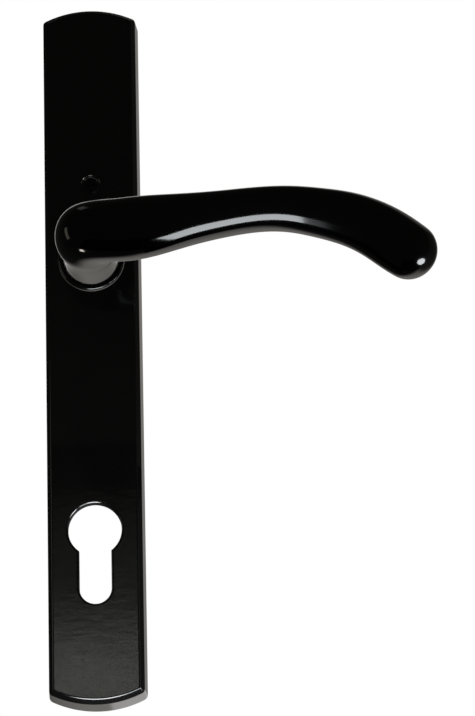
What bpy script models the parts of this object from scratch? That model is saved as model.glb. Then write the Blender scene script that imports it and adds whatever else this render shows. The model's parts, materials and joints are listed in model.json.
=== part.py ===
"""Sprung lever door handle on a long narrow backplate with a profile-cylinder cut-out.

One half of a door handle set: the hollow cast plate, the cast lever that turns in it, the
square spindle that drives the lock, and the return-spring cassette behind the plate.
Metres. X runs along the lever, Z up the door, and -Y out of the door towards the hand. The
origin is on the spindle's axis, at the door's face.
"""
import math

import bmesh
import bpy
from mathutils import Matrix, Vector

# Fit between neighbouring pieces
GAP = 0.0003

# Backplate
PLATE_HALF_WIDTH = 0.016
PLATE_TOP = 0.0893
PLATE_BOTTOM = -0.1503
PLATE_DEPTH = 0.0105
PLATE_WALL = 0.0030
PLATE_DRAFT = 0.0005
PLATE_EDGE_WIDTH = 0.0018
PLATE_EDGE_DEPTH = 0.0014
END_RISE = 0.0040
CORNER_RADIUS = 0.0020

# Cylinder cut-out
CYLINDER_CENTRE = -0.092
CYLINDER_RADIUS = 0.00875
CYLINDER_SLOT_HALF_WIDTH = 0.00525
CYLINDER_LENGTH_BELOW = 0.02475

# Fixings
FIXING_TOP = 0.0769
FIXING_BOTTOM = -0.1381
LUG_RADIUS = 0.0046
LUG_END = 0.008
INSERT_RADIUS = 0.0033
THREAD_RADIUS = 0.0021
FRONT_SCREW_HEIGHT = 0.0264
FRONT_SCREW_HEAD_RADIUS = 0.0027
SCREW_RADIUS = 0.00115
SCREW_HEAD_RADIUS = 0.00225

# Bearing and lever
BEARING_RADIUS = 0.0090
SHANK_RADIUS = 0.0068
SHANK_END = 0.0028
NECK_RADIUS = 0.0087
NECK_BASE = -0.0116
GROOVE_FRONT = 0.0013
GROOVE_WIDTH = 0.0012
GROOVE_RADIUS = 0.0061
SHANK_FLAT = 0.0058
COLLAR_RADIUS = 0.0110
COLLAR_BACK = -0.0108
COLLAR_FRONT = -0.0126
GRIP_PLANE = -0.0385
TIP_LENGTH = 0.0091
ELBOW_PIVOT = (0.0145, -0.0245)
ELBOW_INNER = 0.0053
ELBOW_LIFT = 0.0010
SPINDLE_HALF = 0.0040
SPINDLE_END = 0.045
SOCKET_DEPTH = -0.0090

# Spring cassette
CASSETTE_HALF_WIDTH = 0.0122
CASSETTE_TOP = 0.031
CASSETTE_BOTTOM = -0.021
CASSETTE_FRONT = -0.0061
CASSETTE_FLOOR = -0.0053
CASSETTE_BACK = -0.00115
COVER_FRONT = -0.00085
COVER_BACK = -0.00005
CASSETTE_SCREWS = [(-0.0085, 0.017), (0.0085, 0.017), (-0.0085, -0.017), (0.0085, -0.017)]
POCKET_RADIUS = 0.0112
SPRING_RADIUS = 0.0090
SPRING_WIRE = 0.00045
SPRING_PITCH = 0.00105
SPRING_LEG = 0.0128
SPRING_LEG_OFFSET = 0.0019
STOP_HALF_WIDTH = 0.0012
DRIVER_FRONT = -0.00195
DRIVER_BACK = -0.00115
DRIVER_RADIUS = 0.0096
WING_RADIUS = 0.0136
WING_HALF_ANGLE = math.radians(14)
TURN_DOWN = math.radians(40)
TURN_UP = math.radians(45)
TURN_MARGIN = math.radians(1)

# Colour, roughness and metallic value of each material
MATERIALS = {
    "black_satin": ((0.006, 0.006, 0.007, 1), 0.32, 0.0),
    "black_gloss": ((0.004, 0.004, 0.005, 1), 0.12, 0.0),
    "black_nylon": ((0.015, 0.015, 0.016, 1), 0.55, 0.0),
    "white_nylon": ((0.72, 0.71, 0.66, 1), 0.5, 0.0),
    "rubber": ((0.02, 0.02, 0.02, 1), 0.85, 0.0),
    "zinc_steel": ((0.60, 0.61, 0.63, 1), 0.35, 1.0),
    "spring_steel": ((0.40, 0.40, 0.42, 1), 0.3, 1.0),
    "brass": ((0.72, 0.52, 0.22, 1), 0.35, 1.0),
}


def clear_scene():
    for obj in list(bpy.data.objects):
        bpy.data.objects.remove(obj, do_unlink=True)


def new_collection(name):
    collection = bpy.data.collections.new(name)
    bpy.context.scene.collection.children.link(collection)
    return collection


def new_material(name):
    colour, roughness, metallic = MATERIALS[name]
    material = bpy.data.materials.get(name) or bpy.data.materials.new(name)
    material.use_nodes = True
    shader = material.node_tree.nodes["Principled BSDF"]
    shader.inputs["Base Color"].default_value = colour
    shader.inputs["Roughness"].default_value = roughness
    shader.inputs["Metallic"].default_value = metallic
    return material


def add_mesh(name, mesh_data, collection):
    mesh = bpy.data.meshes.new(name)
    mesh_data.to_mesh(mesh)
    mesh_data.free()
    obj = bpy.data.objects.new(name, mesh)
    collection.objects.link(obj)
    return obj


def finish(obj, material, smooth_angle=35):
    """Give a part its material and smooth shading between its sharp edges."""
    obj.data.materials.append(new_material(material))
    obj.data.shade_smooth()
    obj.data.set_sharp_from_angle(angle=math.radians(smooth_angle))
    return obj


def as_cutter(obj):
    obj.hide_render = True
    obj.display_type = "WIRE"
    return obj


def boolean(target, tool, operation="DIFFERENCE"):
    modifier = target.modifiers.new(f"{operation.lower()}_{tool.name}", "BOOLEAN")
    modifier.operation = operation
    modifier.solver = "EXACT"
    modifier.object = as_cutter(tool)


def box(name, low, high, collection):
    """A box between two corners."""
    mesh_data = bmesh.new()
    size = Vector(high) - Vector(low)
    middle = (Vector(high) + Vector(low)) / 2
    place = Matrix.Translation(middle) @ Matrix.Diagonal(size.to_4d())
    place[3][3] = 1
    bmesh.ops.create_cube(mesh_data, size=1, matrix=place)
    return add_mesh(name, mesh_data, collection)


def rod(name, centre, front, back, radius, collection, front_radius=None, sides=32):
    """A cylinder or cone along Y, from its front end (low Y) to its back end."""
    mesh_data = bmesh.new()
    middle = Vector((centre[0], (front + back) / 2, centre[1]))
    turn = Matrix.Rotation(math.radians(-90), 4, "X")
    bmesh.ops.create_cone(
        mesh_data, cap_ends=True, segments=sides, depth=back - front,
        radius1=radius if front_radius is None else front_radius, radius2=radius,
        matrix=Matrix.Translation(middle) @ turn)
    return add_mesh(name, mesh_data, collection)


def turned(name, profile, steps, collection):
    """A shape turned about Y: profile is (radius, y) from the front down its outer side."""
    mesh_data = bmesh.new()
    corners = [mesh_data.verts.new((radius, 0, -y)) for radius, y in profile]
    for first, second in zip(corners, corners[1:]):
        mesh_data.edges.new((first, second))
    obj = add_mesh(name, mesh_data, collection)
    screw = obj.modifiers.new("turn", "SCREW")
    screw.steps = steps
    screw.render_steps = steps
    screw.use_merge_vertices = True
    screw.merge_threshold = 0.00001
    screw.use_normal_calculate = False
    obj.rotation_euler = (math.radians(90), 0, 0)
    return obj


def ring_profile(inner, outer, front, back):
    """A closed rectangular profile for a plain ring."""
    return [(inner, front), (outer, front), (outer, back), (inner, back), (inner, front)]


def extruded(name, outlines, front, back, collection):
    """A flat outline of (x, z) points, with its holes, made thick between two Y planes."""
    data = bpy.data.curves.new(name, "CURVE")
    data.dimensions = "2D"
    data.fill_mode = "BOTH"
    data.extrude = (back - front) / 2
    for outline in outlines:
        spline = data.splines.new("POLY")
        spline.points.add(len(outline) - 1)
        for point, (x, z) in zip(spline.points, outline):
            point.co = (x, z, 0, 1)
        spline.use_cyclic_u = True
    curve = bpy.data.objects.new(name + "_outline", data)
    collection.objects.link(curve)
    curve.rotation_euler = (math.radians(90), 0, 0)
    curve.location.y = (front + back) / 2
    return curve_to_mesh(curve, name, collection)


def curve_to_mesh(curve, name, collection):
    """Turn a curve object into a mesh with its caps welded on."""
    bpy.context.view_layer.update()
    evaluated = curve.evaluated_get(bpy.context.evaluated_depsgraph_get())
    mesh = bpy.data.meshes.new_from_object(evaluated)
    mesh_data = bmesh.new()
    mesh_data.from_mesh(mesh)
    bmesh.ops.remove_doubles(mesh_data, verts=mesh_data.verts, dist=0.00001)
    bmesh.ops.recalc_face_normals(mesh_data, faces=mesh_data.faces)
    obj = add_mesh(name, mesh_data, collection)
    obj.matrix_world = curve.matrix_world.copy()
    bpy.data.meshes.remove(mesh)
    bpy.data.objects.remove(curve, do_unlink=True)
    return obj


def loft(name, rings, collection):
    """A closed skin over rings that all have the same number of points."""
    mesh_data = bmesh.new()
    rows = [[mesh_data.verts.new(point) for point in ring] for ring in rings]
    count = len(rows[0])
    for row, following in zip(rows, rows[1:]):
        for i in range(count):
            j = (i + 1) % count
            mesh_data.faces.new((row[i], row[j], following[j], following[i]))
    mesh_data.faces.new(rows[0])
    mesh_data.faces.new(rows[-1])
    bmesh.ops.recalc_face_normals(mesh_data, faces=mesh_data.faces)
    return add_mesh(name, mesh_data, collection)


def arc(centre, radius, start, end, steps):
    """Points along an arc in the XZ plane, both ends included."""
    turns = [start + (end - start) * i / steps for i in range(steps + 1)]
    return [(centre[0] + radius * math.cos(t), centre[1] + radius * math.sin(t)) for t in turns]


def plate_end(inset):
    """Right-hand half of a plate's end: its corner round, then its shallow arch, from z = 0."""
    half = PLATE_HALF_WIDTH - inset
    arch = (PLATE_HALF_WIDTH ** 2 + END_RISE ** 2) / (2 * END_RISE) - inset
    corner = max(CORNER_RADIUS - inset, 0.0004)
    lift = math.sqrt((arch - corner) ** 2 - (half - corner) ** 2)
    meet = math.atan2(lift, half - corner)
    points = arc((half - corner, lift - arch), corner, 0, meet, 3)
    points += arc((0, -arch), arch, meet, math.pi / 2, 5)[1:]
    return points


def plate_outline(inset):
    """The plate's outline, drawn in from its base outline by inset."""
    half_end = plate_end(inset)
    mirrored = [(-x, z) for x, z in reversed(half_end[:-1])]
    top = [(x, PLATE_TOP - inset + z) for x, z in half_end + mirrored]
    bottom = [(-x, PLATE_BOTTOM + inset - z) for x, z in half_end + mirrored]
    return top + bottom


def cylinder_outline():
    """The profile-cylinder cut-out: a round with a round-ended slot below it."""
    shoulder = math.asin(CYLINDER_SLOT_HALF_WIDTH / CYLINDER_RADIUS)
    low = CYLINDER_CENTRE - CYLINDER_LENGTH_BELOW + CYLINDER_SLOT_HALF_WIDTH
    start = shoulder - math.pi / 2
    head = arc((0, CYLINDER_CENTRE), CYLINDER_RADIUS, start, math.pi - start, 28)
    foot = arc((0, low), CYLINDER_SLOT_HALF_WIDTH, math.pi, 2 * math.pi, 14)
    return head + foot


def rounded_box(half_width, bottom, top, radius):
    """A rectangle with round corners, as (x, z) points."""
    corners = [
        (half_width - radius, top - radius, 0),
        (radius - half_width, top - radius, 1),
        (radius - half_width, bottom + radius, 2),
        (half_width - radius, bottom + radius, 3),
    ]
    points = []
    for x, z, quarter in corners:
        points += arc((x, z), radius, quarter * math.pi / 2, (quarter + 1) * math.pi / 2, 4)
    return points


def sector(inner, outer, start, end, steps=12):
    """Part of a ring between two angles."""
    return arc((0, 0), outer, start, end, steps) + arc((0, 0), inner, end, start, steps)


def make_backplate(parts, cutters):
    """Hollow cast plate with drafted sides, a chamfered face and integral fixing lugs."""
    levels = [
        (0, 0),
        (PLATE_DRAFT, PLATE_EDGE_DEPTH - PLATE_DEPTH),
        (PLATE_DRAFT + PLATE_EDGE_WIDTH * 0.45, PLATE_EDGE_DEPTH * 0.35 - PLATE_DEPTH),
        (PLATE_DRAFT + PLATE_EDGE_WIDTH, -PLATE_DEPTH),
    ]
    rings = [[(x, y, z) for x, z in plate_outline(inset)] for inset, y in levels]
    plate = loft("backplate", rings, parts)

    inside = PLATE_WALL - PLATE_DEPTH - 0.0001
    boolean(plate, extruded("cavity", [plate_outline(PLATE_WALL)], inside, 0.002, cutters))
    rebate = plate_outline(PLATE_WALL - 0.0017)
    boolean(plate, extruded("gasket_rebate", [rebate], -0.0015, 0.002, cutters))
    for place, height in (("top", FIXING_TOP), ("bottom", FIXING_BOTTOM)):
        lug = rod(f"lug_{place}", (0, height), inside - 0.001, LUG_END, LUG_RADIUS, cutters)
        boolean(plate, lug, "UNION")
        hole = rod(f"lug_hole_{place}", (0, height), -0.0052, LUG_END + 0.002,
                   INSERT_RADIUS + GAP, cutters)
        boolean(plate, hole)
    boolean(plate, rod("bearing_bore", (0, 0), -0.015, 0, BEARING_RADIUS, cutters, sides=48))
    boolean(plate, extruded("cylinder_hole", [cylinder_outline()], -0.015, 0.002, cutters))

    seat = FRONT_SCREW_HEAD_RADIUS + GAP
    head = rod("front_head_recess", (0, FRONT_SCREW_HEIGHT), -0.015, -0.0096, seat, cutters)
    boolean(plate, head)
    neck = rod("front_screw_hole", (0, FRONT_SCREW_HEIGHT), -0.0097, -0.0082,
               SCREW_RADIUS + GAP, cutters, front_radius=seat - 0.00005)
    boolean(plate, neck)
    through = rod("front_screw_bore", (0, FRONT_SCREW_HEIGHT), -0.0083, 0,
                  SCREW_RADIUS + GAP - 0.00005, cutters, sides=16)
    boolean(plate, through)
    for i, spot in enumerate(CASSETTE_SCREWS, 1):
        hole = rod(f"plate_screw_hole_{i}", spot, -0.0092, 0, SCREW_RADIUS + GAP, cutters, sides=16)
        boolean(plate, hole)
    finish(plate, "black_satin")


def make_gasket(parts):
    """Rubber seal set in the plate's back rim."""
    outer = plate_outline(PLATE_WALL - 0.0014)
    inner = plate_outline(PLATE_WALL - 0.0001)
    finish(extruded("gasket", [outer, inner], -0.0012, 0, parts), "rubber")


def make_collar(parts):
    """Domed ring on the plate's face, round the lever's neck."""
    inner = NECK_RADIUS + GAP + 0.0001
    shoulder = 0.0006
    profile = [
        (inner, COLLAR_FRONT + 0.0002),
        (inner + 0.0003, COLLAR_FRONT),
        (COLLAR_RADIUS - 2 * shoulder, COLLAR_FRONT),
        (COLLAR_RADIUS - 0.6 * shoulder, COLLAR_FRONT + 0.6 * shoulder),
        (COLLAR_RADIUS, COLLAR_FRONT + 2 * shoulder),
        (COLLAR_RADIUS, COLLAR_BACK),
        (inner, COLLAR_BACK),
        (inner, COLLAR_FRONT + 0.0002),
    ]
    finish(turned("collar_ring", profile, 48, parts), "black_gloss")


def make_bearing(parts):
    """Nylon bush in the plate's bore, and the washer that the lever's shoulder runs on."""
    bore = SHANK_RADIUS + 0.00032
    front = -PLATE_DEPTH + GAP
    inside = PLATE_WALL - PLATE_DEPTH - 0.0001 + GAP
    profile = [
        (bore, front),
        (BEARING_RADIUS - GAP, front),
        (BEARING_RADIUS - GAP, inside),
        (0.0104, inside),
        (0.0104, CASSETTE_FRONT - GAP),
        (bore, CASSETTE_FRONT - GAP),
        (bore, front),
    ]
    finish(turned("bearing_bush", profile, 40, parts), "white_nylon")
    washer = ring_profile(bore, NECK_RADIUS - GAP, NECK_BASE + GAP, -PLATE_DEPTH - GAP)
    finish(turned("thrust_washer", washer, 40, parts), "white_nylon")


def make_cassette(parts, cutters):
    """Moulded housing behind the plate that holds the spring and stops the lever's travel."""
    shape = rounded_box(CASSETTE_HALF_WIDTH, CASSETTE_BOTTOM, CASSETTE_TOP, 0.003)
    housing = extruded("cassette_housing", [shape], CASSETTE_FRONT, CASSETTE_BACK, parts)
    pocket = rod("pocket", (0, 0), CASSETTE_FLOOR, 0.002, POCKET_RADIUS, cutters, sides=48)
    boolean(housing, pocket)
    up = math.pi / 2
    wing_recess = sector(
        0.009, WING_RADIUS + GAP, up - TURN_DOWN - WING_HALF_ANGLE - TURN_MARGIN,
        up + TURN_UP + WING_HALF_ANGLE + TURN_MARGIN)
    boolean(housing, extruded("wing_recess", [wing_recess], DRIVER_FRONT - GAP, 0.002, cutters))
    leg_sweep = TURN_UP + math.radians(14)
    leg_recess = sector(0.009, 0.0133, -up - leg_sweep, -up + leg_sweep)
    boolean(housing, extruded("leg_recess", [leg_recess], CASSETTE_FLOOR + 0.00001, 0.002, cutters))
    post = box("spring_post", (-STOP_HALF_WIDTH, CASSETTE_FLOOR - 0.0003, -0.0128),
               (STOP_HALF_WIDTH, -0.0023, -0.0113), cutters)
    boolean(housing, post, "UNION")
    bore = rod("housing_bore", (0, 0), -0.01, 0, SHANK_RADIUS + 0.0005, cutters, sides=40)
    boolean(housing, bore)
    spots = CASSETTE_SCREWS + [(0, FRONT_SCREW_HEIGHT)]
    for i, spot in enumerate(spots, 1):
        hole = rod(f"housing_screw_hole_{i}", spot, -0.01, 0.002, SCREW_RADIUS + GAP, cutters, sides=16)
        boolean(housing, hole)
    finish(housing, "black_nylon")


def make_cover(parts, cutters):
    """Pressed steel plate that closes the cassette."""
    shape = rounded_box(CASSETTE_HALF_WIDTH, CASSETTE_BOTTOM, CASSETTE_TOP, 0.003)
    cover = extruded("cassette_cover", [shape], COVER_FRONT, COVER_BACK, parts)
    boolean(cover, rod("cover_bore", (0, 0), -0.01, 0.01, SHANK_RADIUS + 0.0005, cutters, sides=40))
    for i, spot in enumerate(CASSETTE_SCREWS, 1):
        hole = rod(f"cover_screw_hole_{i}", spot, COVER_FRONT - 0.0002, COVER_BACK + 0.0002,
                   SCREW_HEAD_RADIUS + 0.0005, cutters, front_radius=SCREW_HEAD_RADIUS - 0.0004)
        boolean(cover, hole)
    finish(cover, "zinc_steel")


def cross_recess(name, spot, front, back, reach, cutters):
    """A cross for a screwdriver, as one cutter."""
    slim = reach * 0.22
    first = box(name, (spot[0] - reach, front, spot[1] - slim),
                (spot[0] + reach, back, spot[1] + slim), cutters)
    second = box(name + "_arm", (spot[0] - slim, front - 0.00002, spot[1] - reach),
                 (spot[0] + slim, back + 0.00002, spot[1] + reach), cutters)
    boolean(first, second, "UNION")
    return first


def make_cassette_screws(parts, cutters):
    """Countersunk screws through the cover and housing into the plate."""
    head_back = -0.0001
    head_front = -0.0011
    for i, spot in enumerate(CASSETTE_SCREWS, 1):
        profile = [
            (0, -0.0089),
            (SCREW_RADIUS * 0.7, -0.0089),
            (SCREW_RADIUS, -0.0084),
            (SCREW_RADIUS, head_front),
            (SCREW_HEAD_RADIUS, head_back),
            (0, head_back),
        ]
        screw = turned(f"cassette_screw_{i}", profile, 16, parts)
        screw.location = (spot[0], 0, spot[1])
        recess = cross_recess(f"cassette_cross_{i}", spot, -0.0008, 0.001, 0.0013, cutters)
        boolean(screw, recess)
        finish(screw, "zinc_steel")


def make_front_screw(parts, cutters):
    """Countersunk screw just above the lever that holds the cassette's top from the face."""
    profile = [
        (0, -0.0099),
        (FRONT_SCREW_HEAD_RADIUS, -0.0099),
        (FRONT_SCREW_HEAD_RADIUS, -0.0096),
        (SCREW_RADIUS, -0.0080),
        (SCREW_RADIUS, -0.0026),
        (SCREW_RADIUS * 0.7, -0.0021),
        (0, -0.0021),
    ]
    screw = turned("front_screw", profile, 24, parts)
    screw.location = (0, 0, FRONT_SCREW_HEIGHT)
    spot = (0, FRONT_SCREW_HEIGHT)
    boolean(screw, cross_recess("front_cross", spot, -0.011, -0.0090, 0.0015, cutters))
    finish(screw, "black_gloss")


def make_inserts(parts):
    """Threaded brass inserts in the plate's lugs, for the bolts through the door."""
    for place, height in (("top", FIXING_TOP), ("bottom", FIXING_BOTTOM)):
        profile = ring_profile(THREAD_RADIUS, INSERT_RADIUS, -0.0048, LUG_END)
        insert = turned(f"threaded_insert_{place}", profile, 24, parts)
        insert.location = (0, 0, height)
        finish(insert, "brass")


def make_spring(parts):
    """Torsion spring whose two legs close on the housing's post and the driver's tab."""
    start_y = CASSETTE_FLOOR + 0.00015 + SPRING_WIRE
    lead = math.asin(SPRING_LEG_OFFSET / SPRING_RADIUS)
    sweep = 4 * math.pi - 2 * lead
    steps = 34
    points = [(SPRING_LEG_OFFSET, start_y, -SPRING_LEG)]
    for i in range(steps + 1):
        turn = -math.pi / 2 + lead + sweep * i / steps
        y = start_y + SPRING_PITCH * sweep * i / steps / (2 * math.pi)
        points.append((SPRING_RADIUS * math.cos(turn), y, SPRING_RADIUS * math.sin(turn)))
    points.append((-SPRING_LEG_OFFSET, points[-1][1], -SPRING_LEG))
    data = bpy.data.curves.new("return_spring", "CURVE")
    data.dimensions = "3D"
    data.bevel_depth = SPRING_WIRE
    data.bevel_resolution = 2
    data.use_fill_caps = True
    spline = data.splines.new("POLY")
    spline.points.add(len(points) - 1)
    for point, place in zip(spline.points, points):
        point.co = (*place, 1)
    curve = bpy.data.objects.new("spring_path", data)
    parts.objects.link(curve)
    finish(curve_to_mesh(curve, "return_spring", parts), "spring_steel", 60)


def ring_section(centre, outward, up, depth, height, power, count=20):
    """One section of the lever: a rounded oval in the plane of outward and up."""
    points = []
    for i in range(count):
        turn = 2 * math.pi * i / count
        a = math.copysign(abs(math.cos(turn)) ** (2 / power), math.cos(turn)) * depth
        b = math.copysign(abs(math.sin(turn)) ** (2 / power), math.sin(turn)) * height
        points.append(Vector(centre) + Vector(outward) * a + Vector(up) * b)
    return points


def grip_stations():
    """The grip's centre line: (x, z, half height, half depth) where its shape turns."""
    return [
        (0.0150, 0.0013, 0.0104, 0.0086),
        (0.0320, 0.0037, 0.0087, 0.0082),
        (0.0440, 0.0053, 0.0076, 0.0080),
        (0.0560, 0.0065, 0.0072, 0.0080),
        (0.0660, 0.0064, 0.0074, 0.0081),
        (0.0760, 0.0048, 0.0080, 0.0082),
        (0.0860, 0.0022, 0.0087, 0.0084),
        (0.0952, -0.0022, 0.0093, 0.0085),
        (0.1048, -0.0091, 0.0094, 0.0084),
    ]


def elbow_stations():
    """Round the elbow: (degrees, reach from the pivot to its outer side, half height)."""
    return [
        (0, 0.0239, 0.0092),
        (10, 0.0250, 0.0096),
        (20, 0.0266, 0.0101),
        (32, 0.0281, 0.0102),
        (45, 0.0285, 0.0101),
        (58, 0.0261, 0.0102),
        (74, 0.0236, 0.0103),
    ]


def lever_rings():
    """Sections from the neck's base, round the elbow and along the grip to its round tip."""
    stations = grip_stations()
    rings = []
    for y, radius in ((NECK_BASE, NECK_RADIUS), (-0.0180, 0.0089)):
        rings.append(ring_section((0, y, 0), (-1, 0, 0), (0, 0, 1), radius, radius, 2.0))
    for degrees, reach, height in elbow_stations():
        turn = math.radians(degrees)
        outward = Vector((-math.cos(turn), -math.sin(turn), 0))
        lift = ELBOW_LIFT * min(1, degrees / 30)
        centre = Vector((*ELBOW_PIVOT, lift)) + outward * (reach + ELBOW_INNER) / 2
        depth = (reach - ELBOW_INNER) / 2
        rings.append(ring_section(centre, outward, (0, 0, 1), depth, height, 2 + degrees / 450))
    for i, (x, z, height, depth) in enumerate(stations):
        before = stations[max(i - 1, 0)]
        after = stations[min(i + 1, len(stations) - 1)]
        slope = math.atan2(after[1] - before[1], after[0] - before[0])
        slope *= 0.5 if i == 0 else 1
        up = (-math.sin(slope), 0, math.cos(slope))
        rings.append(ring_section((x, GRIP_PLANE, z), (0, -1, 0), up, depth, height, 2.2))
    x, z, height, depth = stations[-1]
    for turn in (math.radians(28), math.radians(52), math.radians(72), math.radians(84)):
        ahead = TIP_LENGTH * math.sin(turn)
        centre = (x + ahead * math.cos(slope), GRIP_PLANE, z + ahead * math.sin(slope))
        shrink = math.cos(turn)
        rings.append(ring_section(centre, (0, -1, 0), up, depth * shrink, height * shrink, 2.2))
    return rings


def make_lever(parts, cutters):
    """Cast lever: neck, elbow and grip, with the shank that turns in the plate."""
    lever = loft("lever", lever_rings(), parts)
    profile = [
        (0, NECK_BASE - 0.003),
        (SHANK_RADIUS, NECK_BASE - 0.003),
        (SHANK_RADIUS, GROOVE_FRONT),
        (GROOVE_RADIUS, GROOVE_FRONT),
        (GROOVE_RADIUS, GROOVE_FRONT + GROOVE_WIDTH),
        (SHANK_RADIUS, GROOVE_FRONT + GROOVE_WIDTH),
        (SHANK_RADIUS, SHANK_END - 0.0003),
        (SHANK_RADIUS - 0.0003, SHANK_END),
        (0, SHANK_END),
    ]
    boolean(lever, turned("shank", profile, 40, cutters), "UNION")
    for side in (-1, 1):
        low, high = sorted((side * SHANK_FLAT, side * 0.01))
        flat = box(f"shank_flat_{high > 0:d}", (low, -0.0022, -0.01), (high, 0.01, 0.01), cutters)
        boolean(lever, flat)
    half = SPINDLE_HALF + GAP
    socket = box("spindle_socket", (-half, SOCKET_DEPTH, -half), (half, 0.01, half), cutters)
    boolean(lever, socket)
    finish(lever, "black_gloss", 50)


def make_driver(parts, cutters):
    """Driver on the shank's flats: its wing meets the stops and its tab opens the spring."""
    disc = arc((0, 0), DRIVER_RADIUS, math.pi / 2 + WING_HALF_ANGLE, 5 * math.pi / 2 - WING_HALF_ANGLE, 36)
    wing = arc((0, 0), WING_RADIUS, math.pi / 2 - WING_HALF_ANGLE, math.pi / 2 + WING_HALF_ANGLE, 6)
    driver = extruded("spring_driver", [disc + wing], DRIVER_FRONT, DRIVER_BACK, parts)
    tab = box("driver_tab", (-STOP_HALF_WIDTH, -0.0050, -0.0109),
              (STOP_HALF_WIDTH, DRIVER_BACK - 0.00005, -0.00975), cutters)
    bridge = box("tab_bridge", (-STOP_HALF_WIDTH, DRIVER_FRONT + 0.00005, -0.0104),
                 (STOP_HALF_WIDTH, DRIVER_BACK - 0.0001, -0.0090), cutters)
    boolean(driver, tab, "UNION")
    boolean(driver, bridge, "UNION")
    bore = rod("driver_bore", (0, 0), -0.01, 0.01, SHANK_RADIUS + GAP, cutters, sides=40)
    flats = box("driver_flats", (-SHANK_FLAT - GAP, -0.02, -0.02), (SHANK_FLAT + GAP, 0.02, 0.02), cutters)
    boolean(bore, flats, "INTERSECT")
    boolean(driver, bore)
    finish(driver, "zinc_steel")


def make_wave_washer(parts):
    """Spring washer between the cover and the circlip, waved three times round."""
    inner = SHANK_RADIUS + GAP
    outer = 0.0092
    thickness = 0.0003
    middle = 0.00062
    wave = 0.00025
    steps = 36
    rings = []
    for radius, side in ((inner, -1), (outer, -1), (outer, 1), (inner, 1)):
        row = []
        for i in range(steps):
            turn = 2 * math.pi * i / steps
            y = middle + wave * math.cos(3 * turn) + side * thickness / 2
            row.append((radius * math.cos(turn), y, radius * math.sin(turn)))
        rings.append(row)
    mesh_data = bmesh.new()
    rows = [[mesh_data.verts.new(point) for point in ring] for ring in rings]
    for row, following in zip(rows, rows[1:] + rows[:1]):
        for i in range(steps):
            j = (i + 1) % steps
            mesh_data.faces.new((row[i], row[j], following[j], following[i]))
    bmesh.ops.recalc_face_normals(mesh_data, faces=mesh_data.faces)
    finish(add_mesh("wave_washer", mesh_data, parts), "spring_steel")


def make_circlip(parts):
    """Open ring in the shank's groove that keeps the lever in the plate."""
    opening = math.radians(28)
    start = -math.pi / 2 + opening
    end = 3 * math.pi / 2 - opening
    outline = arc((0, 0), 0.0084, start, end, 34) + arc((0, 0), GROOVE_RADIUS + GAP, end, start, 34)
    front = GROOVE_FRONT + GAP
    finish(extruded("circlip", [outline], front, front + 0.0006, parts), "spring_steel")


def make_spindle(parts, cutters):
    """Square bar that carries the lever's turn into the lock, with chamfered ends."""
    half = SPINDLE_HALF
    spindle = box("spindle", (-half, SOCKET_DEPTH + GAP, -half), (half, SPINDLE_END, half), parts)
    bevel = spindle.modifiers.new("chamfer", "BEVEL")
    bevel.width = 0.0005
    bevel.segments = 1
    bevel.limit_method = "ANGLE"
    finish(spindle, "zinc_steel")


def make_spindle_clip(parts):
    """Push-on spring washer that stops the spindle sliding out of the lever."""
    hole = SPINDLE_HALF + GAP
    square = [(hole, hole), (-hole, hole), (-hole, -hole), (hole, -hole)]
    disc = arc((0, 0), 0.0074, 0, 2 * math.pi, 32)[:-1]
    finish(extruded("spindle_clip", [disc, square], SHANK_END + GAP, SHANK_END + 0.0009, parts), "spring_steel")


def main():
    clear_scene()
    parts = new_collection("lever_handle")
    cutters = new_collection("cutters")
    make_backplate(parts, cutters)
    make_gasket(parts)
    make_collar(parts)
    make_bearing(parts)
    make_cassette(parts, cutters)
    make_cover(parts, cutters)
    make_cassette_screws(parts, cutters)
    make_front_screw(parts, cutters)
    make_inserts(parts)
    make_spring(parts)
    make_lever(parts, cutters)
    make_driver(parts, cutters)
    make_wave_washer(parts)
    make_circlip(parts)
    make_spindle(parts, cutters)
    make_spindle_clip(parts)


main()
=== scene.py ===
"""Looks for a sprung lever door handle: a black plate, a glossy black lever and its fittings."""
import json
import math

import bmesh
import bpy
import numpy as np
from mathutils import Matrix, Vector


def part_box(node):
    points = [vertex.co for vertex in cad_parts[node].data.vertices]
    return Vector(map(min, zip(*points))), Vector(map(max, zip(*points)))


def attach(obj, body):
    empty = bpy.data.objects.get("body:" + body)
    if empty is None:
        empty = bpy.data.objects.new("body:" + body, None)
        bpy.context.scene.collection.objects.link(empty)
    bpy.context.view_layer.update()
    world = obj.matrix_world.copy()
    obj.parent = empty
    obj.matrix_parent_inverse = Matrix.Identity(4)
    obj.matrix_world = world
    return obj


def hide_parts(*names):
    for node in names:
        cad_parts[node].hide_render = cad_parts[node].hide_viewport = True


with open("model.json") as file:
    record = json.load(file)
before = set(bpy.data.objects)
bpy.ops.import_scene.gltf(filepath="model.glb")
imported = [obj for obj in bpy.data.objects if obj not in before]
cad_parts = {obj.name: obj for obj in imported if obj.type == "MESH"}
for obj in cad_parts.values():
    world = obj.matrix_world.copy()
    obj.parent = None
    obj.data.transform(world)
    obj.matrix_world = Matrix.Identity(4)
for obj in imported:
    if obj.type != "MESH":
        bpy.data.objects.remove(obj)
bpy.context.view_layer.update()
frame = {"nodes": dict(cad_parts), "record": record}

# Plate, in metres: the same driving sizes as the solids behind it
PLATE_LOW, PLATE_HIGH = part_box("backplate")
PLATE_HALF_WIDTH = PLATE_HIGH.x
PLATE_TOP = PLATE_HIGH.z
PLATE_BOTTOM = PLATE_LOW.z
PLATE_DEPTH = -PLATE_LOW.y
LUG_END = PLATE_HIGH.y
PLATE_WALL = 0.0030
GASKET_REBATE = 0.0017
GASKET_DEPTH = 0.0015
PLATE_DRAFT = 0.0005
END_RISE = 0.0040
CORNER_RADIUS = 0.0020
EDGE_SLOPE = 52
EDGE_CREASE = 0.0008
EDGE_RUN = 0.0018
EDGE_NOSE = 0.0007
CYLINDER_CENTRE = -0.092
CYLINDER_RADIUS = 0.00875
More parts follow.
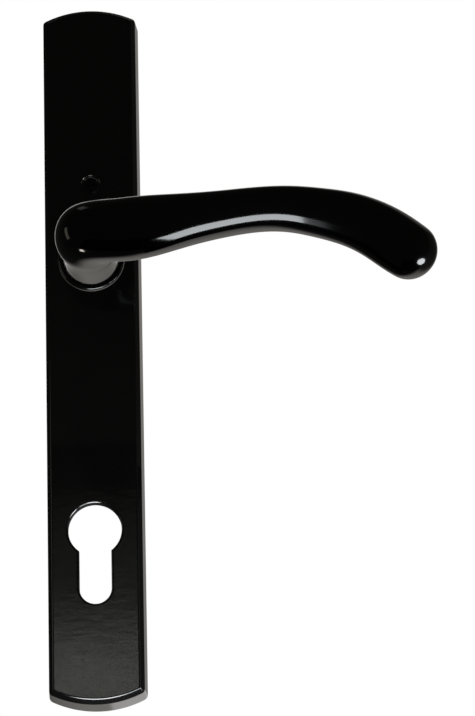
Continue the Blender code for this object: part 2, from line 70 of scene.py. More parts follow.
CYLINDER_SLOT_HALF_WIDTH = 0.00525
CYLINDER_LENGTH_BELOW = 0.02475
CYLINDER_EDGE = 0.0009
FIXING_TOP = 0.0769
FIXING_BOTTOM = -0.1381
LUG_RADIUS = 0.0046
LUG_FILLET = 0.0012
LUG_CHAMFER = 0.0004
INSERT_HOLE = 0.0036
BEARING_RADIUS = 0.0090
FRONT_SCREW_HEIGHT = 0.0264
SCREW_HOLE = 0.00145
SCREW_SEAT = 0.0030
SEAT_EDGE = 0.0006
CROSS_REACH = 0.0015
CROSS_HALF_WIDTH = 0.00033
CROSS_FLOOR = -0.0090
DULL_CUT_OUT_REACH = 0.026
DULL_WALL_TILT = 0.6
DULL_WALL_BACK = -0.004
CASSETTE_SCREWS = [(-0.0085, 0.017), (0.0085, 0.017), (-0.0085, -0.017), (0.0085, -0.017)]

# Lever
ELBOW_PIVOT = (0.0145, -0.0245)
ELBOW_INNER = 0.0053
ELBOW_LIFT = 0.0010
GRIP_PLANE = -0.0385
TIP_LENGTH = 0.0091
SHANK_RADIUS = 0.0068
SHANK_END = 0.0028
SHANK_FLAT = 0.0058
SHANK_FLAT_START = -0.0022
SHANK_CHAMFER = 0.0003
NECK_BASE = -0.0116
NECK_RADII = ((NECK_BASE, 0.0087), (-0.0180, 0.0089))
GROOVE_FRONT = 0.0013
GROOVE_BACK = 0.0025
GROOVE_RADIUS = 0.0061
SOCKET_HALF = 0.0043
SOCKET_DEPTH = -0.0090

# Ring round the neck
COLLAR_INNER = 0.0091
COLLAR_LIP = 0.0003
COLLAR_ROUND = 0.0011

# Carried-over nodes whose sharp edges are broken
MACHINED = ("spindle", "cassette_cover", "cassette_housing", "spindle_clip", "circlip",
            "threaded_insert_top", "threaded_insert_bottom", "spring_driver", "bearing_bush")
BROKEN_EDGE = 0.00012

# Light: the dark room's radiance, lamp colours, and the places that lamps stand at or aim at
ROOM = 0.025
WHITE = (1.0, 1.0, 1.0)
COOL = (0.95, 1.0, 1.03)
LEVER_HUB = (0, -0.036, 0)
PLATE_MIDDLE = (0, 0, -0.03)
SOFTBOX_HEIGHT = -0.55

# Camera, set by fitting the plate's outline
CAMERA_PLACE = (0.082565, -1.374891, -0.438635)
CAMERA_PITCH = 0.287299
CAMERA_ROLL = 0.0218257
CAMERA_YAW = 0.0255617
CAMERA_LENS = 217.6


# ---------------------------------------------------------------- mesh helpers

def mesh_object(name, mesh_data):
    mesh = bpy.data.meshes.new(name)
    mesh_data.to_mesh(mesh)
    mesh_data.free()
    obj = bpy.data.objects.new(name, mesh)
    bpy.context.scene.collection.objects.link(obj)
    return obj


def skin(rings, close_ends=True):
    """A bmesh skin over rings of the same number of points."""
    mesh_data = bmesh.new()
    rows = [[mesh_data.verts.new(tuple(point)) for point in ring] for ring in rings]
    count = len(rows[0])
    for row, following in zip(rows, rows[1:]):
        for i in range(count):
            j = (i + 1) % count
            mesh_data.faces.new((row[i], row[j], following[j], following[i]))
    if close_ends:
        mesh_data.faces.new(rows[0])
        mesh_data.faces.new(rows[-1])
    bmesh.ops.recalc_face_normals(mesh_data, faces=mesh_data.faces)
    return mesh_data


def arc(centre, radius, start, end, steps):
    turns = [start + (end - start) * i / steps for i in range(steps + 1)]
    return [(centre[0] + radius * math.cos(t), centre[1] + radius * math.sin(t)) for t in turns]


def prism(name, outline, front, back):
    return mesh_object(name, skin([[(x, y, z) for x, z in outline] for y in (front, back)]))


def turned(name, profile, centre=(0, 0), steps=96):
    """A solid of revolution about a Y axis: profile is (radius, y), open at radius 0 ends."""
    rings = []
    for radius, y in profile:
        around = arc(centre, max(radius, 1e-6), 0, 2 * math.pi, steps)[:-1]
        rings.append([(x, y, z) for x, z in around])
    return mesh_object(name, skin(rings))


def box_tool(name, low, high):
    outline = [(low[0], low[2]), (high[0], low[2]), (high[0], high[2]), (low[0], high[2])]
    return prism(name, outline, low[1], high[1])


def combine(target, tools, operation="DIFFERENCE"):
    """Cut tools out of target, or join them to it, and drop the tools."""
    for tool in tools:
        modifier = target.modifiers.new(tool.name, "BOOLEAN")
        modifier.operation = operation
        modifier.solver = "EXACT"
        modifier.object = tool
    apply_modifiers(target)
    for tool in tools:
        bpy.data.objects.remove(tool, do_unlink=True)
    return target


def apply_modifiers(obj):
    bpy.context.view_layer.update()
    evaluated = obj.evaluated_get(bpy.context.evaluated_depsgraph_get())
    mesh = bpy.data.meshes.new_from_object(evaluated)
    obj.modifiers.clear()
    obj.data = mesh


def shade(obj, angle=30, weighted=True):
    obj.data.shade_smooth()
    obj.data.set_sharp_from_angle(angle=math.radians(angle))
    if weighted:
        modifier = obj.modifiers.new("weighted_normals", "WEIGHTED_NORMAL")
        modifier.keep_sharp = True


def quarter(radius, steps):
    """(inset, depth) steps of a quarter round that leaves a face and turns down a side."""
    turns = [math.pi / 2 * i / steps for i in range(steps + 1)]
    return [(radius * (1 - math.sin(t)), radius * (1 - math.cos(t))) for t in turns]


def set_material(obj, material):
    obj.data.materials.clear()
    obj.data.materials.append(material)


# ---------------------------------------------------------------- materials

def shader_nodes(name):
    material = bpy.data.materials.new(name)
    material.use_nodes = True
    nodes = material.node_tree.nodes
    links = material.node_tree.links
    return material, nodes, links, nodes["Principled BSDF"]


def noise(nodes, links, scale, detail=3.0, stretch=None):
    """Noise in object space; scale is features per metre."""
    place = nodes.new("ShaderNodeTexCoord")
    texture = nodes.new("ShaderNodeTexNoise")
    texture.inputs["Scale"].default_value = scale
    texture.inputs["Detail"].default_value = detail
    source = place.outputs["Object"]
    if stretch:
        mapping = nodes.new("ShaderNodeMapping")
        mapping.inputs["Scale"].default_value = stretch
        links.new(source, mapping.inputs["Vector"])
        source = mapping.outputs["Vector"]
    links.new(source, texture.inputs["Vector"])
    return texture.outputs["Fac"]


def spread(nodes, links, value, low, high):
    """Map noise's useful middle range to low..high."""
    ramp = nodes.new("ShaderNodeMapRange")
    ramp.inputs["From Min"].default_value = 0.3
    ramp.inputs["From Max"].default_value = 0.7
    ramp.inputs["To Min"].default_value = low
    ramp.inputs["To Max"].default_value = high
    links.new(value, ramp.inputs["Value"])
    return ramp.outputs["Result"]


def tint(nodes, links, value, dark, light):
    mix = nodes.new("ShaderNodeMix")
    mix.data_type = "RGBA"
    mix.inputs["A"].default_value = (*dark, 1)
    mix.inputs["B"].default_value = (*light, 1)
    links.new(value, mix.inputs["Factor"])
    return mix.outputs["Result"]


def bump(nodes, links, shader, heights):
    """Stack bumps: heights is (value, depth in metres) from coarse to fine."""
    previous = None
    for value, depth in heights:
        node = nodes.new("ShaderNodeBump")
        node.inputs["Strength"].default_value = 1.0
        node.inputs["Distance"].default_value = depth
        links.new(value, node.inputs["Height"])
        if previous:
            links.new(previous, node.inputs["Normal"])
        previous = node.outputs["Normal"]
    links.new(previous, shader.inputs["Normal"])


def coating(name, dark, light, rough_low, rough_high, peel, peel_depth, grain_depth, flow=(1, 1, 1)):
    """Baked black coating: slight orange peel, a finer grain and patchy gloss."""
    material, nodes, links, shader = shader_nodes(name)
    patches = noise(nodes, links, 45, 4)
    links.new(tint(nodes, links, patches, dark, light), shader.inputs["Base Color"])
    links.new(spread(nodes, links, patches, rough_low, rough_high), shader.inputs["Roughness"])
    shader.inputs["IOR"].default_value = 1.5
    bump(nodes, links, shader, [
        (noise(nodes, links, peel, 2, flow), peel_depth),
        (noise(nodes, links, peel * 5, 2), grain_depth),
    ])
    return material


def metal(name, dark, light, rough_low, rough_high, lines, stretch, depth):
    """Metal with drawn or turned lines along one direction."""
    material, nodes, links, shader = shader_nodes(name)
    streaks = noise(nodes, links, lines, 5, stretch)
    patches = noise(nodes, links, 160, 4)
    links.new(tint(nodes, links, patches, dark, light), shader.inputs["Base Color"])
    links.new(spread(nodes, links, streaks, rough_low, rough_high), shader.inputs["Roughness"])
    shader.inputs["Metallic"].default_value = 1.0
    bump(nodes, links, shader, [(patches, depth * 2), (streaks, depth)])
    return material


def moulded(name, dark, light, roughness, grain, depth, shine=0.5):
    """Moulded plastic, rubber or thin dull paint with a fine grain."""
    material, nodes, links, shader = shader_nodes(name)
    shader.inputs["Specular IOR Level"].default_value = shine
    cloud = noise(nodes, links, 120, 3)
    links.new(tint(nodes, links, cloud, dark, light), shader.inputs["Base Color"])
    links.new(spread(nodes, links, cloud, roughness - 0.06, roughness + 0.06), shader.inputs["Roughness"])
    bump(nodes, links, shader, [(noise(nodes, links, grain, 2), depth)])
    return material


def make_materials():
    return {
        "plate_coat": coating("plate_coat", (0.0006,) * 3, (0.0016, 0.0016, 0.0015),
                              0.11, 0.15, 520, 0.000016, 0.0000010, (0.4, 1, 1)),
        "hole_coat": moulded("hole_coat", (0.0006,) * 3, (0.0016,) * 3, 0.6, 900, 0.000008, 0.05),
        "lever_coat": coating("lever_coat", (0.0006,) * 3, (0.0012,) * 3,
                              0.08, 0.12, 300, 0.000003, 0.0000004),
        "collar_coat": coating("collar_coat", (0.0008,) * 3, (0.0015,) * 3,
                               0.12, 0.18, 420, 0.000004, 0.0000008),
        "screw_black": coating("screw_black", (0.002,) * 3, (0.004,) * 3,
                               0.25, 0.35, 900, 0.000004, 0.000001),
        "nylon": moulded("nylon", (0.62, 0.60, 0.54), (0.72, 0.70, 0.64), 0.45, 1500, 0.00001),
        "moulding": moulded("moulding", (0.012, 0.012, 0.013), (0.022, 0.022, 0.023),
                            0.5, 2200, 0.00002),
        "rubber": moulded("rubber", (0.012, 0.012, 0.012), (0.028, 0.027, 0.026),
                          0.8, 1600, 0.00003),
        "zinc_steel": metal("zinc_steel", (0.50, 0.52, 0.56), (0.66, 0.67, 0.69),
                            0.22, 0.42, 900, (1, 0.04, 1), 0.000004),
        "spring_steel": metal("spring_steel", (0.20, 0.20, 0.21), (0.36, 0.35, 0.34),
                              0.25, 0.4, 1200, (1, 1, 1), 0.000003),
        "brass": metal("brass", (0.55, 0.38, 0.14), (0.74, 0.54, 0.24),
                       0.2, 0.38, 1400, (0.05, 1, 0.05), 0.000004),
    }


# ---------------------------------------------------------------- plate

def plate_end(inset):
    half = PLATE_HALF_WIDTH - inset
    arch = (PLATE_HALF_WIDTH ** 2 + END_RISE ** 2) / (2 * END_RISE) - inset
    corner = max(CORNER_RADIUS - inset, 0.0005)
    lift = math.sqrt((arch - corner) ** 2 - (half - corner) ** 2)
    meet = math.atan2(lift, half - corner)
    points = arc((half - corner, lift - arch), corner, 0, meet, 8)
    points += arc((0, -arch), arch, meet, math.pi / 2, 20)[1:]
    return points


def plate_outline(inset):
    half_end = plate_end(inset)
    mirrored = [(-x, z) for x, z in reversed(half_end[:-1])]
    top = [(x, PLATE_TOP - inset + z) for x, z in half_end + mirrored]
    bottom = [(-x, PLATE_BOTTOM + inset - z) for x, z in half_end + mirrored]
    return top + bottom


def edge_profile():
    """(inset, depth) from the face, over a soft crease and a flat chamfer, to the side wall."""
    slope = math.radians(EDGE_SLOPE)
    points = [(EDGE_CREASE * math.sin(slope * i / 5), EDGE_CREASE * (1 - math.cos(slope * i / 5)))
              for i in range(6)]
    points.append((points[-1][0] + EDGE_RUN * math.cos(slope), points[-1][1] + EDGE_RUN * math.sin(slope)))
    last = points[-1]
    for i in range(1, 6):
        turn = slope + (math.radians(87.3) - slope) * i / 5
        points.append((last[0] + EDGE_NOSE * (math.sin(turn) - math.sin(slope)),
                       last[1] + EDGE_NOSE * (math.cos(slope) - math.cos(turn))))
    reach = points[-1][0] + PLATE_DRAFT
    return [(reach - inset, depth) for inset, depth in points]


def cylinder_outline(grow=0.0):
    radius = CYLINDER_RADIUS + grow
    slot = CYLINDER_SLOT_HALF_WIDTH + grow
    shoulder = math.asin(slot / radius)
    low = CYLINDER_CENTRE - CYLINDER_LENGTH_BELOW + CYLINDER_SLOT_HALF_WIDTH
    start = shoulder - math.pi / 2
    head = arc((0, CYLINDER_CENTRE), radius, start, math.pi - start, 56)
    foot = arc((0, low), slot, math.pi, 2 * math.pi, 28)
    return head + foot


def cylinder_tool():
    """Cutter for the cut-out that leaves a rounded edge on the plate's face."""
    rings = [[(x, -PLATE_DEPTH - 0.002, z) for x, z in cylinder_outline(CYLINDER_EDGE)]]
    for grow, depth in quarter(CYLINDER_EDGE, 7):
        y = -PLATE_DEPTH + depth
        rings.append([(x, y, z) for x, z in cylinder_outline(grow)])
    rings[1] = [(x, -PLATE_DEPTH - 0.00001, z) for x, z in cylinder_outline(CYLINDER_EDGE)]
    rings.append([(x, 0.004, z) for x, z in cylinder_outline()])
    return mesh_object("cylinder_tool", skin(rings))


def dull_hole_walls(plate, material):
    """The coating is thin and matt down the walls of the cut-out and the screw's seat."""
    plate.data.materials.append(material)
    for face in plate.data.polygons:
        x, y, z = face.center
        in_cylinder = (abs(x) < CYLINDER_RADIUS + CYLINDER_EDGE
                       and abs(z - CYLINDER_CENTRE) < DULL_CUT_OUT_REACH)
        in_seat = math.hypot(x, z - FRONT_SCREW_HEIGHT) < SCREW_SEAT + SEAT_EDGE
        steep = abs(face.normal.y) < DULL_WALL_TILT
        if (in_cylinder or in_seat) and steep and y < DULL_WALL_BACK:
            face.material_index = 1


def build_plate(material, hole_coat):
    """Hollow casting with a chamfered face, lugs for the inserts, and all its holes."""
    profile = edge_profile()
    rings = [[(x, 0, z) for x, z in plate_outline(0)]]
    for inset, depth in reversed(profile):
        rings.append([(x, depth - PLATE_DEPTH, z) for x, z in plate_outline(inset)])
    plate = mesh_object("plate_casting", skin(rings))

    inside = PLATE_WALL - PLATE_DEPTH - 0.0001
    cavity = prism("cavity_tool", plate_outline(PLATE_WALL), inside, 0.002)
    rebate = prism("rebate_tool", plate_outline(PLATE_WALL - GASKET_REBATE), -GASKET_DEPTH, 0.002)
    combine(plate, [cavity, rebate])
    lugs = []
    for height in (FIXING_TOP, FIXING_BOTTOM):
        lugs.append(turned("lug_tool", [
            (LUG_RADIUS + LUG_FILLET, inside - 0.0005),
            (LUG_RADIUS + LUG_FILLET, inside),
            (LUG_RADIUS + LUG_FILLET / 3, inside + LUG_FILLET / 4),
            (LUG_RADIUS, inside + LUG_FILLET),
            (LUG_RADIUS, LUG_END - LUG_CHAMFER),
            (LUG_RADIUS - LUG_CHAMFER, LUG_END),
        ], (0, height), 64))
    combine(plate, lugs, "UNION")
    insert = [(INSERT_HOLE, -0.0052), (INSERT_HOLE, LUG_END + 0.002)]
    holes = [turned("insert_tool", insert, (0, height), 64) for height in (FIXING_TOP, FIXING_BOTTOM)]
    face = -PLATE_DEPTH
    holes.append(turned("bore_tool", [
        (BEARING_RADIUS + 0.0003, face - 0.002),
        (BEARING_RADIUS + 0.0003, face - 0.00001),
        (BEARING_RADIUS, face + 0.0003),
        (BEARING_RADIUS, 0),
    ]))
    holes.append(turned("seat_tool", [
        (SCREW_SEAT + SEAT_EDGE, face - 0.002),
        (SCREW_SEAT + SEAT_EDGE, face - 0.00001),
        *[(SCREW_SEAT + grow, face + depth) for grow, depth in quarter(SEAT_EDGE, 6)[1:]],
        (SCREW_SEAT, face + 0.0009),
        (SCREW_HOLE, face + 0.0023),
        (SCREW_HOLE, 0),
    ], (0, FRONT_SCREW_HEIGHT), 64))
    for spot in CASSETTE_SCREWS:
        holes.append(turned("screw_tool", [(SCREW_HOLE, -0.0092), (SCREW_HOLE, 0)], spot, 24))
    holes.append(cylinder_tool())
    combine(plate, holes)
    shade(plate, 28)
    set_material(plate, material)
    dull_hole_walls(plate, hole_coat)
    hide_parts("backplate")
    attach(plate, "plate")
    plate.visible_glossy = False
    return plate


# ---------------------------------------------------------------- lever

def oval(centre, outward, up, depth, height, power, count=96):
    """Superellipse: power 2 is an ellipse, and more is squarer."""
    points = []
    outward = Vector(outward)
    up = Vector(up)
    for i in range(count):
        turn = 2 * math.pi * i / count
        a = math.copysign(abs(math.cos(turn)) ** (2 / power), math.cos(turn)) * depth
        b = math.copysign(abs(math.sin(turn)) ** (2 / power), math.sin(turn)) * height
        points.append(Vector(centre) + outward * a + up * b)
    return points


def grip_stations():
    """(x, z, half height, half depth) along the grip."""
    return [
        (0.0150, 0.0013, 0.0104, 0.0086),
        (0.0320, 0.0037, 0.0087, 0.0082),
        (0.0440, 0.0053, 0.0076, 0.0080),
        (0.0560, 0.0065, 0.0072, 0.0080),
        (0.0660, 0.0064, 0.0074, 0.0081),
        (0.0760, 0.0048, 0.0080, 0.0082),
        (0.0860, 0.0022, 0.0087, 0.0084),
        (0.0952, -0.0022, 0.0093, 0.0085),
        (0.1048, -0.0091, 0.0094, 0.0084),
    ]


def elbow_stations():
    """Round the elbow: (degrees, reach from the pivot to its outer side, half height)."""
    return [
        (0, 0.0239, 0.0092),
        (10, 0.0250, 0.0096),
        (20, 0.0266, 0.0101),
        (32, 0.0281, 0.0102),
        (45, 0.0285, 0.0101),
        (58, 0.0261, 0.0102),
        (74, 0.0236, 0.0103),
    ]


def key_rings():
    """The lever's sections where its shape turns, from the neck's base to the tip."""
    stations = grip_stations()
    rings = []
    for y, radius in NECK_RADII:
        rings.append(oval((0, y, 0), (-1, 0, 0), (0, 0, 1), radius, radius, 2.0))
    for degrees, reach, height in elbow_stations():
        turn = math.radians(degrees)
        outward = Vector((-math.cos(turn), -math.sin(turn), 0))
        lift = ELBOW_LIFT * min(1, degrees / 30)
        centre = Vector((*ELBOW_PIVOT, lift)) + outward * (reach + ELBOW_INNER) / 2
        depth = (reach - ELBOW_INNER) / 2
        rings.append(oval(centre, outward, (0, 0, 1), depth, height, 2 + degrees / 450))
    for i, (x, z, height, depth) in enumerate(stations):
        before = stations[max(i - 1, 0)]
        after = stations[min(i + 1, len(stations) - 1)]
        slope = math.atan2(after[1] - before[1], after[0] - before[0])
        slope *= 0.5 if i == 0 else 1
        up = (-math.sin(slope), 0, math.cos(slope))
        rings.append(oval((x, GRIP_PLANE, z), (0, -1, 0), up, depth, height, 2.2))
    x, z, height, depth = stations[-1]
    for degrees in (16, 32, 46, 58, 68, 76, 82, 87):
        turn = math.radians(degrees)
        ahead = TIP_LENGTH * math.sin(turn)
        centre = (x + ahead * math.cos(slope), GRIP_PLANE, z + ahead * math.sin(slope))
        shrink = math.cos(turn)
        rings.append(oval(centre, (0, -1, 0), up, depth * shrink, height * shrink, 2.2))
    return rings


def smooth_rings(rings, steps):
    """Natural cubic spline through the key rings, point by point."""
    keys = np.array([[tuple(point) for point in ring] for ring in rings])
    gaps = np.linalg.norm(np.diff(keys, axis=0), axis=2).mean(axis=1)
    knots = np.concatenate([[0], np.cumsum(gaps)])
    count = len(knots)
    system = np.eye(count)
    rhs = np.zeros_like(keys)
    for i in range(1, count - 1):
        left, right = gaps[i - 1], gaps[i]
        system[i, i - 1:i + 2] = (left, 2 * (left + right), right)
        rhs[i] = 6 * ((keys[i + 1] - keys[i]) / right - (keys[i] - keys[i - 1]) / left)
    curve = np.linalg.solve(system, rhs.reshape(count, -1)).reshape(keys.shape)
    made = []
    for i in range(count - 1):
        width = gaps[i]
        for k in range(steps):
            b = k / steps
            a = 1 - b
            bend_a = (a ** 3 - a) * width ** 2 / 6
            bend_b = (b ** 3 - b) * width ** 2 / 6
            made.append(a * keys[i] + b * keys[i + 1] + bend_a * curve[i] + bend_b * curve[i + 1])
    made.append(keys[-1])
    return made


def hold_in_cad_box(lever):
    """The spline surface would pass the CAD node's box by a few microns: keep it inside."""
    low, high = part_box("lever")
    for vertex in lever.data.vertices:
        vertex.co.x = min(vertex.co.x, high.x)
        vertex.co.y = max(vertex.co.y, low.y)


def build_lever(material):
    """Neck, elbow and grip in one skin, with the grooved shank, its flats and the square socket."""
    lever = mesh_object("lever_casting", skin(smooth_rings(key_rings(), 5)))
    shank = turned("shank_tool", [
        (SHANK_RADIUS, NECK_BASE - 0.003),
        (SHANK_RADIUS, GROOVE_FRONT),
        (GROOVE_RADIUS, GROOVE_FRONT),
        (GROOVE_RADIUS, GROOVE_BACK),
        (SHANK_RADIUS, GROOVE_BACK),
        (SHANK_RADIUS, SHANK_END - SHANK_CHAMFER),
        (SHANK_RADIUS - SHANK_CHAMFER, SHANK_END),
    ])
    combine(lever, [shank], "UNION")
    tools = [box_tool("socket_tool", (-SOCKET_HALF, SOCKET_DEPTH, -SOCKET_HALF),
                      (SOCKET_HALF, 0.01, SOCKET_HALF))]
    for side in (-1, 1):
        low, high = sorted((side * SHANK_FLAT, side * 0.01))
        tools.append(box_tool("flat_tool", (low, SHANK_FLAT_START, -0.01), (high, 0.01, 0.01)))
    combine(lever, tools)
    hold_in_cad_box(lever)
    shade(lever, 40, weighted=False)
    set_material(lever, material)
    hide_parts("lever")
    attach(lever, "lever_set")
    return lever


# ---------------------------------------------------------------- small pieces

def build_collar(material):
    """Domed ring round the neck, rounded at its inner edge too."""
    low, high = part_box("collar_ring")
    outer = high.x
    front = low.y
    back = high.y
    inner, lip = COLLAR_INNER, COLLAR_LIP
    profile = [(inner, back), (inner, front + lip)]
    for i in range(4):
        turn = math.pi / 2 * i / 3
        profile.append((inner + lip * (1 - math.cos(turn)), front + lip * (1 - math.sin(turn))))
    profile += [(outer - inset, front + depth) for inset, depth in quarter(COLLAR_ROUND, 8)]
    profile.append((outer, back))
    rings = [[(x, y, z) for x, z in arc((0, 0), radius, 0, 2 * math.pi, 128)[:-1]] for radius, y in profile]
    rings.append(rings[0])
    mesh_data = skin(rings, close_ends=False)
    bmesh.ops.remove_doubles(mesh_data, verts=mesh_data.verts, dist=0.0000001)
    bmesh.ops.recalc_face_normals(mesh_data, faces=mesh_data.faces)
    collar = mesh_object("collar", mesh_data)
    shade(collar, 40)
    set_material(collar, material)
    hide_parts("collar_ring")
    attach(collar, "plate")
    collar.visible_glossy = False


def build_front_screw(material):
    """Cross-head screw down in the plate's recess, above the lever."""
    low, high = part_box("front_screw")
    radius = high.x
    head = low.y
    profile = [
        (0.0003, head),
        (radius - 0.0003, head),
        (radius - 0.0001, head + 0.00008),
        (radius, head + 0.0003),
        (0.00115, -0.0080),
        (0.00115, -0.0026),
        (0.0008, high.y),
    ]
    screw = turned("face_screw", profile, (0, FRONT_SCREW_HEIGHT), 64)
    z = FRONT_SCREW_HEIGHT
    arms = [box_tool("arm_tool", (-across, -0.012, z - up), (across, CROSS_FLOOR, z + up))
            for across, up in ((CROSS_REACH, CROSS_HALF_WIDTH), (CROSS_HALF_WIDTH, CROSS_REACH))]
    combine(screw, arms)
    shade(screw, 35)
    set_material(screw, material)
    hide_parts("front_screw")
    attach(screw, "plate")


def dress_frame_nodes(materials):
    """Give the carried-over CAD nodes their materials, and the machined ones a fine rounded edge."""
    slots = {entry["node"]: entry["material_slot"] for entry in frame["record"]["subparts"]}
    for name, obj in frame["nodes"].items():
        set_material(obj, materials[slots[name]])
        obj.visible_glossy = False
        if name in MACHINED:
            bevel = obj.modifiers.new("broken_edges", "BEVEL")
            bevel.width = BROKEN_EDGE
            bevel.segments = 2
            bevel.limit_method = "ANGLE"
            bevel.angle_limit = math.radians(50)
            bevel.harden_normals = True


# ---------------------------------------------------------------- stage, light and camera

def soft_light(name, place, target, size, radiance, colour=WHITE):
    """Rectangular lamp whose face has that radiance; the camera doesn't see it."""
    width, height = size
    light = bpy.data.lights.new(name, "AREA")
    light.shape = "RECTANGLE"
    light.size = width
    light.size_y = height
    light.energy = radiance * width * height * math.pi
    light.color = colour
    obj = bpy.data.objects.new(name, light)
    bpy.context.scene.collection.objects.link(obj)
    obj.location = place
    obj.rotation_euler = (Vector(target) - Vector(place)).to_track_quat("-Z", "Y").to_euler()
    obj.visible_camera = False
    return obj


def card_below(name, x, y, z, size, radiance, colour=WHITE):
    """Card that faces straight up; the target's small step in Y fixes which way its width runs."""
    return soft_light(name, (x, y, z), (x, y + 0.001, 0), size, radiance, colour)


def ramp(nodes, links, value, start, end, low, high):
    node = nodes.new("ShaderNodeMapRange")
    node.interpolation_type = "SMOOTHSTEP"
    for name, number in (("From Min", start), ("From Max", end), ("To Min", low), ("To Max", high)):
        node.inputs[name].default_value = number
    links.new(value, node.inputs["Value"])
    return node.outputs["Result"]


def multiply_add(nodes, links, first, second, extra):
    node = nodes.new("ShaderNodeMath")
    node.operation = "MULTIPLY_ADD"
    links.new(first, node.inputs[0])
    links.new(second, node.inputs[1])
    node.inputs[2].default_value = extra
    return node.outputs["Value"]


def build_world():
    """White to the camera; to the rest, a pale wall behind that leans right, in a dark room."""
    world = bpy.data.worlds.new("studio")
    bpy.context.scene.world = world
    world.use_nodes = True
    nodes = world.node_tree.nodes
    links = world.node_tree.links
    nodes.clear()
    place = nodes.new("ShaderNodeTexCoord")
    split = nodes.new("ShaderNodeSeparateXYZ")
    links.new(place.outputs["Generated"], split.inputs["Vector"])
    lean = nodes.new("ShaderNodeMath")
    lean.operation = "MULTIPLY_ADD"
    lean.inputs[1].default_value = 0.85
    links.new(split.outputs["X"], lean.inputs[0])
    links.new(split.outputs["Y"], lean.inputs[2])
    behind = ramp(nodes, links, lean.outputs["Value"], 0.50, 0.88, 0, 1)
    below = ramp(nodes, links, split.outputs["Z"], 0.1, -0.9, 0.3, 1.0)
    beside = ramp(nodes, links, split.outputs["X"], 0.3, 0.65, 1, 0.1)
    wall = multiply_add(nodes, links, behind, below, 0)
    room = multiply_add(nodes, links, wall, beside, ROOM)
    lit = nodes.new("ShaderNodeBackground")
    lit.inputs["Color"].default_value = (1.0, 0.96, 0.90, 1)
    links.new(room, lit.inputs["Strength"])
    seen = nodes.new("ShaderNodeBackground")
    seen.inputs["Color"].default_value = (1, 1, 1, 1)
    seen.inputs["Strength"].default_value = 1.0
    path = nodes.new("ShaderNodeLightPath")
    mix = nodes.new("ShaderNodeMixShader")
    links.new(path.outputs["Is Camera Ray"], mix.inputs["Fac"])
    links.new(lit.outputs["Background"], mix.inputs[1])
    links.new(seen.outputs["Background"], mix.inputs[2])
    output = nodes.new("ShaderNodeOutputWorld")
    links.new(mix.outputs["Shader"], output.inputs["Surface"])


def build_floor():
    """Pale floor well below the handle, left out of reflections and diffuse light."""
    bpy.ops.mesh.primitive_plane_add(size=12, location=(0, 0, -0.62))
    floor = bpy.context.object
    floor.name = "floor"
    material, nodes, links, shader = shader_nodes("floor_paint")
    links.new(tint(nodes, links, noise(nodes, links, 6, 3), (0.86, 0.86, 0.85), (0.9, 0.9, 0.89)),
              shader.inputs["Base Color"])
    shader.inputs["Roughness"].default_value = 0.7
    shader.inputs["Emission Color"].default_value = (1, 1, 1, 1)
    shader.inputs["Emission Strength"].default_value = 0.55
    set_material(floor, material)
    floor.visible_glossy = False
    floor.visible_diffuse = False


def direction(azimuth, elevation):
    """Unit vector: azimuth 0 is out of the door, positive towards the lever's tip."""
    a, e = math.radians(azimuth), math.radians(elevation)
    return Vector((math.sin(a) * math.cos(e), -math.cos(a) * math.cos(e), math.sin(e)))


def only_on(light, *pieces):
    """Keep a light to some pieces, and let no other piece shade it."""
    group = bpy.data.collections.new(light.name + "_pieces")
    for piece in pieces:
        group.objects.link(piece)
    light.light_linking.receiver_collection = group
    light.light_linking.blocker_collection = group


def flag(name, corners, height):
    """Black card that keeps a lamp off a part of the lever; the camera doesn't see it."""
    card = mesh_object(name, skin([[(x, y, z) for x, y in corners] for z in (height, height + 0.0005)]))
    material, nodes, links, shader = shader_nodes(name)
    links.new(tint(nodes, links, noise(nodes, links, 200), (0.0002,) * 3, (0.0006,) * 3),
              shader.inputs["Base Color"])
    shader.inputs["Roughness"].default_value = 1.0
    shader.inputs["Specular IOR Level"].default_value = 0.0
    set_material(card, material)
    card.visible_camera = False
    return card


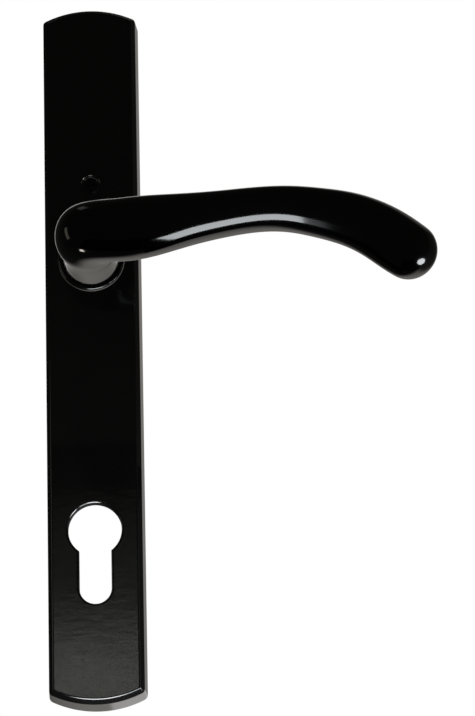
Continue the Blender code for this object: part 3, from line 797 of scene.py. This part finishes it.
def build_lights(plate, lever):
    """A long softbox under the handle with three flags, then small cards and lamps round it."""
    hub = Vector(LEVER_HUB)
    card_below("key_softbox", 0.1225, -0.29, SOFTBOX_HEIGHT, (0.455, 0.42), 10, COOL)
    card_below("fade_card", -0.13, -0.29, SOFTBOX_HEIGHT, (0.05, 0.42), 0.7, COOL)
    tip = card_below("tip_softbox", 0.80, -0.27, SOFTBOX_HEIGHT, (0.62, 0.44), 12, (0.96, 1.0, 1.03))
    tip.data.shape = "ELLIPSE"
    flag("elbow_flag", [(-0.030, -0.110), (0.030, -0.110), (0.049, -0.042), (-0.030, -0.042)], -0.055)
    flag("tip_flag", [(0.074, -0.110), (0.140, -0.110), (0.140, -0.030), (0.074, -0.030)], -0.070)
    lamp_flag = flag("lamp_flag", [(0.028, -0.040), (0.082, -0.040), (0.082, 0), (0.028, 0)], -0.068)
    cards = (("high_card", (0.09, 0.10), 0.018, 0.10), ("low_card", (0.09, 0.05), -0.018, 1.6))
    for name, size, height, radiance in cards:
        place = Vector((-0.036, -0.61, height))
        card = soft_light(name, place, place + Vector((0, 1, 0)), size, radiance, (1.0, 1.0, 0.92))
        only_on(card, plate)
    only_on(card_below("edge_card", -0.02, -0.30, -0.58, (0.30, 0.36), 15), plate)
    only_on(soft_light("rim_card", (0, 0.9, 0.57), (0, 0, 0.57), (0.66, 0.66), 0.35), lever)
    lamp = soft_light("warm_lamp", (-0.43, 0.108, -0.90), hub, (0.16, 0.12), 14, (1.0, 0.93, 0.84))
    only_on(lamp, lever, lamp_flag)
    seat = (0, 0, 0.026)
    only_on(soft_light("recess_card", (0.72, -0.30, -0.50), seat, (0.40, 0.40), 12), plate)
    for side in (-1, 1):
        card = soft_light("side_card", (side * 1.4, -0.25, -0.03), PLATE_MIDDLE, (0.4, 0.6), 0.5)
        only_on(card, plate)
    back = soft_light("back_card", (0.8, 1.3, -0.4), PLATE_MIDDLE, (1.7, 1.1), 0.7)
    only_on(back, plate, *frame["nodes"].values())
    soft_light("left_strip", hub + direction(-83, -4) * 0.8, hub, (0.22, 0.5), 0.8, (1.0, 0.93, 0.78))
    soft_light("top_strip", hub + Vector((-0.30, -0.03, 0.9)), hub, (0.34, 0.12), 0.4)


def build_camera():
    """Camera below the handle and a little to its right, looking up at it."""
    turn = Matrix.Rotation(CAMERA_YAW, 3, "Z")
    turn = turn @ Matrix.Rotation(CAMERA_PITCH, 3, "X") @ Matrix.Rotation(CAMERA_ROLL, 3, "Y")
    view = Matrix((turn.col[0], turn.col[2], -turn.col[1])).transposed()
    data = bpy.data.cameras.new("camera")
    data.lens = CAMERA_LENS
    data.sensor_width = 36
    data.clip_start = 0.05
    data.clip_end = 50
    camera = bpy.data.objects.new("camera", data)
    bpy.context.scene.collection.objects.link(camera)
    camera.matrix_world = Matrix.Translation(CAMERA_PLACE) @ view.to_4x4()
    bpy.context.scene.camera = camera


def main():
    materials = make_materials()
    plate = build_plate(materials["plate_coat"], materials["hole_coat"])
    lever = build_lever(materials["lever_coat"])
    build_collar(materials["collar_coat"])
    build_front_screw(materials["screw_black"])
    dress_frame_nodes(materials)
    build_world()
    build_floor()
    build_lights(plate, lever)
    build_camera()
    bpy.context.scene.view_settings.view_transform = "Standard"


main()
